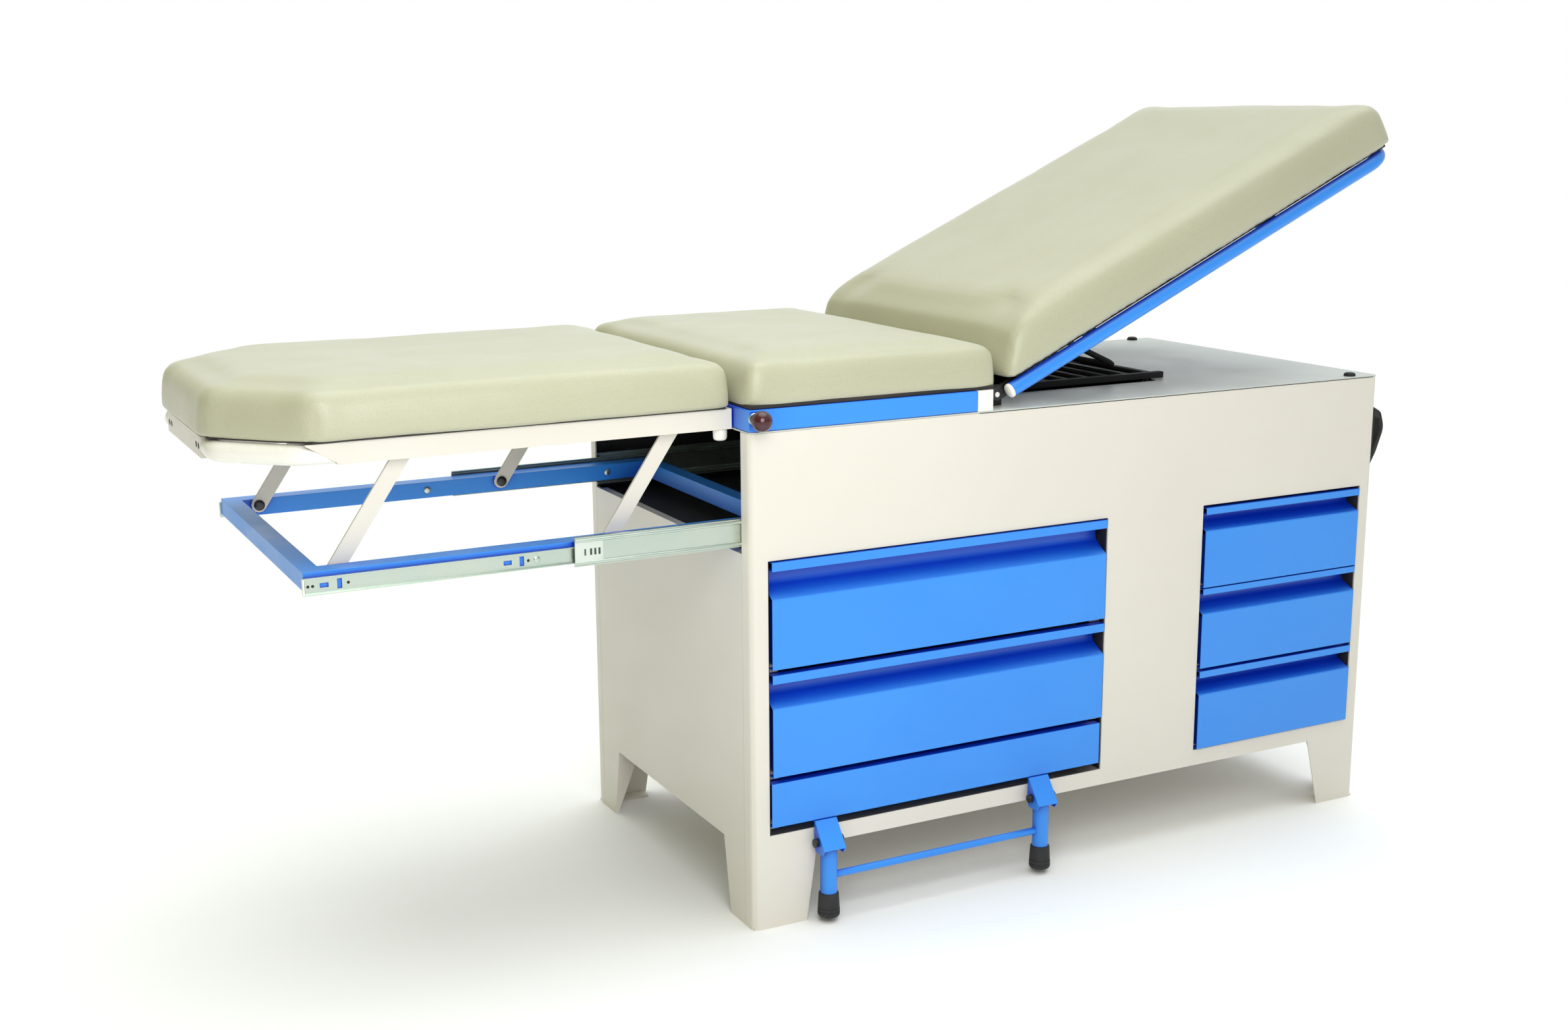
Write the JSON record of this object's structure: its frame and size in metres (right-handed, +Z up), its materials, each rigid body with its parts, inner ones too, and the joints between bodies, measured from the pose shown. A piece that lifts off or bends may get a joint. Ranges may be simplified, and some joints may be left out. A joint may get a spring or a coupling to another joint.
{
  "type": "medical exam table",
  "caption": "Medical exam table: sheet-metal cabinet with drawers and a pull-out step, padded seat, tilting back rest on a prop, and a sliding, lowering leg rest.",
  "frame": {"origin": "middle of the footprint of the table's bounding box, on the floor", "axes": "+X from the foot end to the head end, +Y from the drawer side to the back, +Z up"},
  "size_m": [1.8814, 0.6396, 1.1688],
  "materials": {
    "cream_paint": "semi-gloss cream powder coat on sheet steel",
    "blue_paint": "semi-gloss bright blue powder coat",
    "zinc_steel": "zinc-plated steel",
    "black_paint": "black paint on steel",
    "vinyl": "satin PVC-coated upholstery fabric, beige-olive",
    "black_board": "black-stained plywood board",
    "black_rubber": "matt black rubber",
    "off_white": "smooth off-white enamel",
    "maroon_plastic": "polished maroon plastic"
  },
  "bodies": {
    "cabinet": {"front_panel": "cream_paint", "back_panel": "cream_paint", "foot_end_panel": "cream_paint", "head_end_panel": "cream_paint", "deck_panel": "cream_paint", "floor_pan": "cream_paint", "upright_foot": "cream_paint", "upright_mid_left": "cream_paint", "upright_mid_right": "cream_paint", "upright_head": "cream_paint", "slide_outer_front": "zinc_steel", "slide_outer_back": "zinc_steel", "seat_frame": "blue_paint", "seat_board": "black_board", "seat_cushion": "vinyl", "hinge_bracket_front": "off_white", "hinge_bracket_back": "off_white", "bumper_front": "black_rubber", "bumper_back": "black_rubber", "head_handle": "black_rubber", "prop_rack": "black_paint"},
    "lock_plunger": {"lock_knob": "maroon_plastic", "lock_stem": "zinc_steel"},
    "slide_middles": {"slide_middle_front": "zinc_steel", "slide_middle_back": "zinc_steel"},
    "carriage": {"carriage_frame": "blue_paint", "slide_inner_front": "zinc_steel", "slide_inner_back": "zinc_steel"},
    "link_foot_front": {"link_foot_front": "cream_paint"},
    "link_foot_back": {"link_foot_back": "cream_paint"},
    "link_head_front": {"link_head_front": "cream_paint"},
    "link_head_back": {"link_head_back": "cream_paint"},
    "leg_rest": {"leg_frame": "cream_paint", "leg_board": "black_board", "leg_cushion": "vinyl", "leg_bow_front": "off_white", "leg_bow_back": "off_white", "leg_peg_front": "off_white", "leg_peg_back": "off_white"},
    "back_rest": {"back_frame": "blue_paint", "back_board": "black_board", "back_cushion": "vinyl", "ferrule_front": "off_white", "ferrule_back": "off_white", "hinge_arm_front": "zinc_steel", "hinge_arm_back": "zinc_steel"},
    "prop": {"prop_bail": "black_paint"},
    "drawer_left_upper": {"drawer_left_upper": "blue_paint"},
    "drawer_left_lower": {"drawer_left_lower": "blue_paint"},
    "drawer_right_upper": {"drawer_right_upper": "blue_paint"},
    "drawer_right_middle": {"drawer_right_middle": "blue_paint"},
    "drawer_right_lower": {"drawer_right_lower": "blue_paint"},
    "step": {"step_drawer": "blue_paint", "step_bracket_left": "blue_paint", "step_bracket_right": "blue_paint", "step_bolt_left": "zinc_steel", "step_bolt_right": "zinc_steel"},
    "step_leg": {"step_leg_frame": "blue_paint", "step_foot_left": "black_rubber", "step_foot_right": "black_rubber"}
  },
  "joints": [
    {"name": "leg_slide_middle", "type": "slide", "parent": "cabinet", "child": "slide_middles", "axis": [-1, 0, 0], "range_m": [0, 0.0575]},
    {"name": "leg_slide_carriage", "type": "slide", "parent": "slide_middles", "child": "carriage", "axis": [-1, 0, 0], "range_m": [0, 0.0576]},
    {"name": "link_foot_front_pivot", "type": "hinge", "parent": "carriage", "child": "link_foot_front", "pos_m": [-0.79867, -0.20725, 0.591], "axis": [0, 1, 0], "range_deg": [0, 42.1]},
    {"name": "link_foot_back_pivot", "type": "hinge", "parent": "carriage", "child": "link_foot_back", "pos_m": [-0.79867, 0.24575, 0.591], "axis": [0, 1, 0], "range_deg": [0, 42.1]},
    {"name": "link_head_front_pivot", "type": "hinge", "parent": "carriage", "child": "link_head_front", "pos_m": [-0.42167, -0.20725, 0.591], "axis": [0, 1, 0], "range_deg": [0, 42.1]},
    {"name": "link_head_back_pivot", "type": "hinge", "parent": "carriage", "child": "link_head_back", "pos_m": [-0.42167, 0.24575, 0.591], "axis": [0, 1, 0], "range_deg": [0, 42.1]},
    {"name": "leg_rest_pivot", "type": "hinge", "parent": "link_foot_front", "child": "leg_rest", "pos_m": [-0.69467, -0.20725, 0.745], "axis": [0, 1, 0], "range_deg": [-42.1, 0]},
    {"name": "back_tilt", "type": "hinge", "parent": "cabinet", "child": "back_rest", "pos_m": [0.17633, 0.01925, 0.75], "axis": [0, -1, 0], "range_deg": [-24.65, 25.35]},
    {"name": "prop_fold", "type": "hinge", "parent": "back_rest", "child": "prop", "pos_m": [0.34902, 0.01925, 0.82924], "axis": [0, -1, 0], "range_deg": [-50.8, 49.4]},
    {"name": "lock_pull", "type": "slide", "parent": "cabinet", "child": "lock_plunger", "axis": [0, -1, 0], "range_m": [0, 0.01], "stiffness_N_per_m": 600},
    {"name": "drawer_left_upper_slide", "type": "slide", "parent": "cabinet", "child": "drawer_left_upper", "axis": [0, -1, 0], "range_m": [0, 0.4]},
    {"name": "drawer_left_lower_slide", "type": "slide", "parent": "cabinet", "child": "drawer_left_lower", "axis": [0, -1, 0], "range_m": [0, 0.4]},
    {"name": "drawer_right_upper_slide", "type": "slide", "parent": "cabinet", "child": "drawer_right_upper", "axis": [0, -1, 0], "range_m": [0, 0.4]},
    {"name": "drawer_right_middle_slide", "type": "slide", "parent": "cabinet", "child": "drawer_right_middle", "axis": [0, -1, 0], "range_m": [0, 0.4]},
    {"name": "drawer_right_lower_slide", "type": "slide", "parent": "cabinet", "child": "drawer_right_lower", "axis": [0, -1, 0], "range_m": [0, 0.4]},
    {"name": "step_slide", "type": "slide", "parent": "cabinet", "child": "step", "axis": [0, -1, 0], "range_m": [0, 0.28]},
    {"name": "step_leg_swing", "type": "hinge", "parent": "step", "child": "step_leg", "pos_m": [0.05933, -0.29525, 0.124], "axis": [1, 0, 0], "range_deg": [-18, 0]}
  ],
  "couplings": [
    {"joint": "leg_slide_carriage", "follows": "leg_slide_middle", "ratio": 1},
    {"joint": "link_foot_front_pivot", "follows": "leg_slide_middle", "rad_per_m": 12.748},
    {"joint": "link_foot_back_pivot", "follows": "leg_slide_middle", "rad_per_m": 12.748},
    {"joint": "link_head_front_pivot", "follows": "leg_slide_middle", "rad_per_m": 12.748},
    {"joint": "link_head_back_pivot", "follows": "leg_slide_middle", "rad_per_m": 12.748},
    {"joint": "leg_rest_pivot", "follows": "leg_slide_middle", "rad_per_m": -12.748},
    {"joint": "prop_fold", "follows": "back_tilt", "ratio": -2}
  ]
}
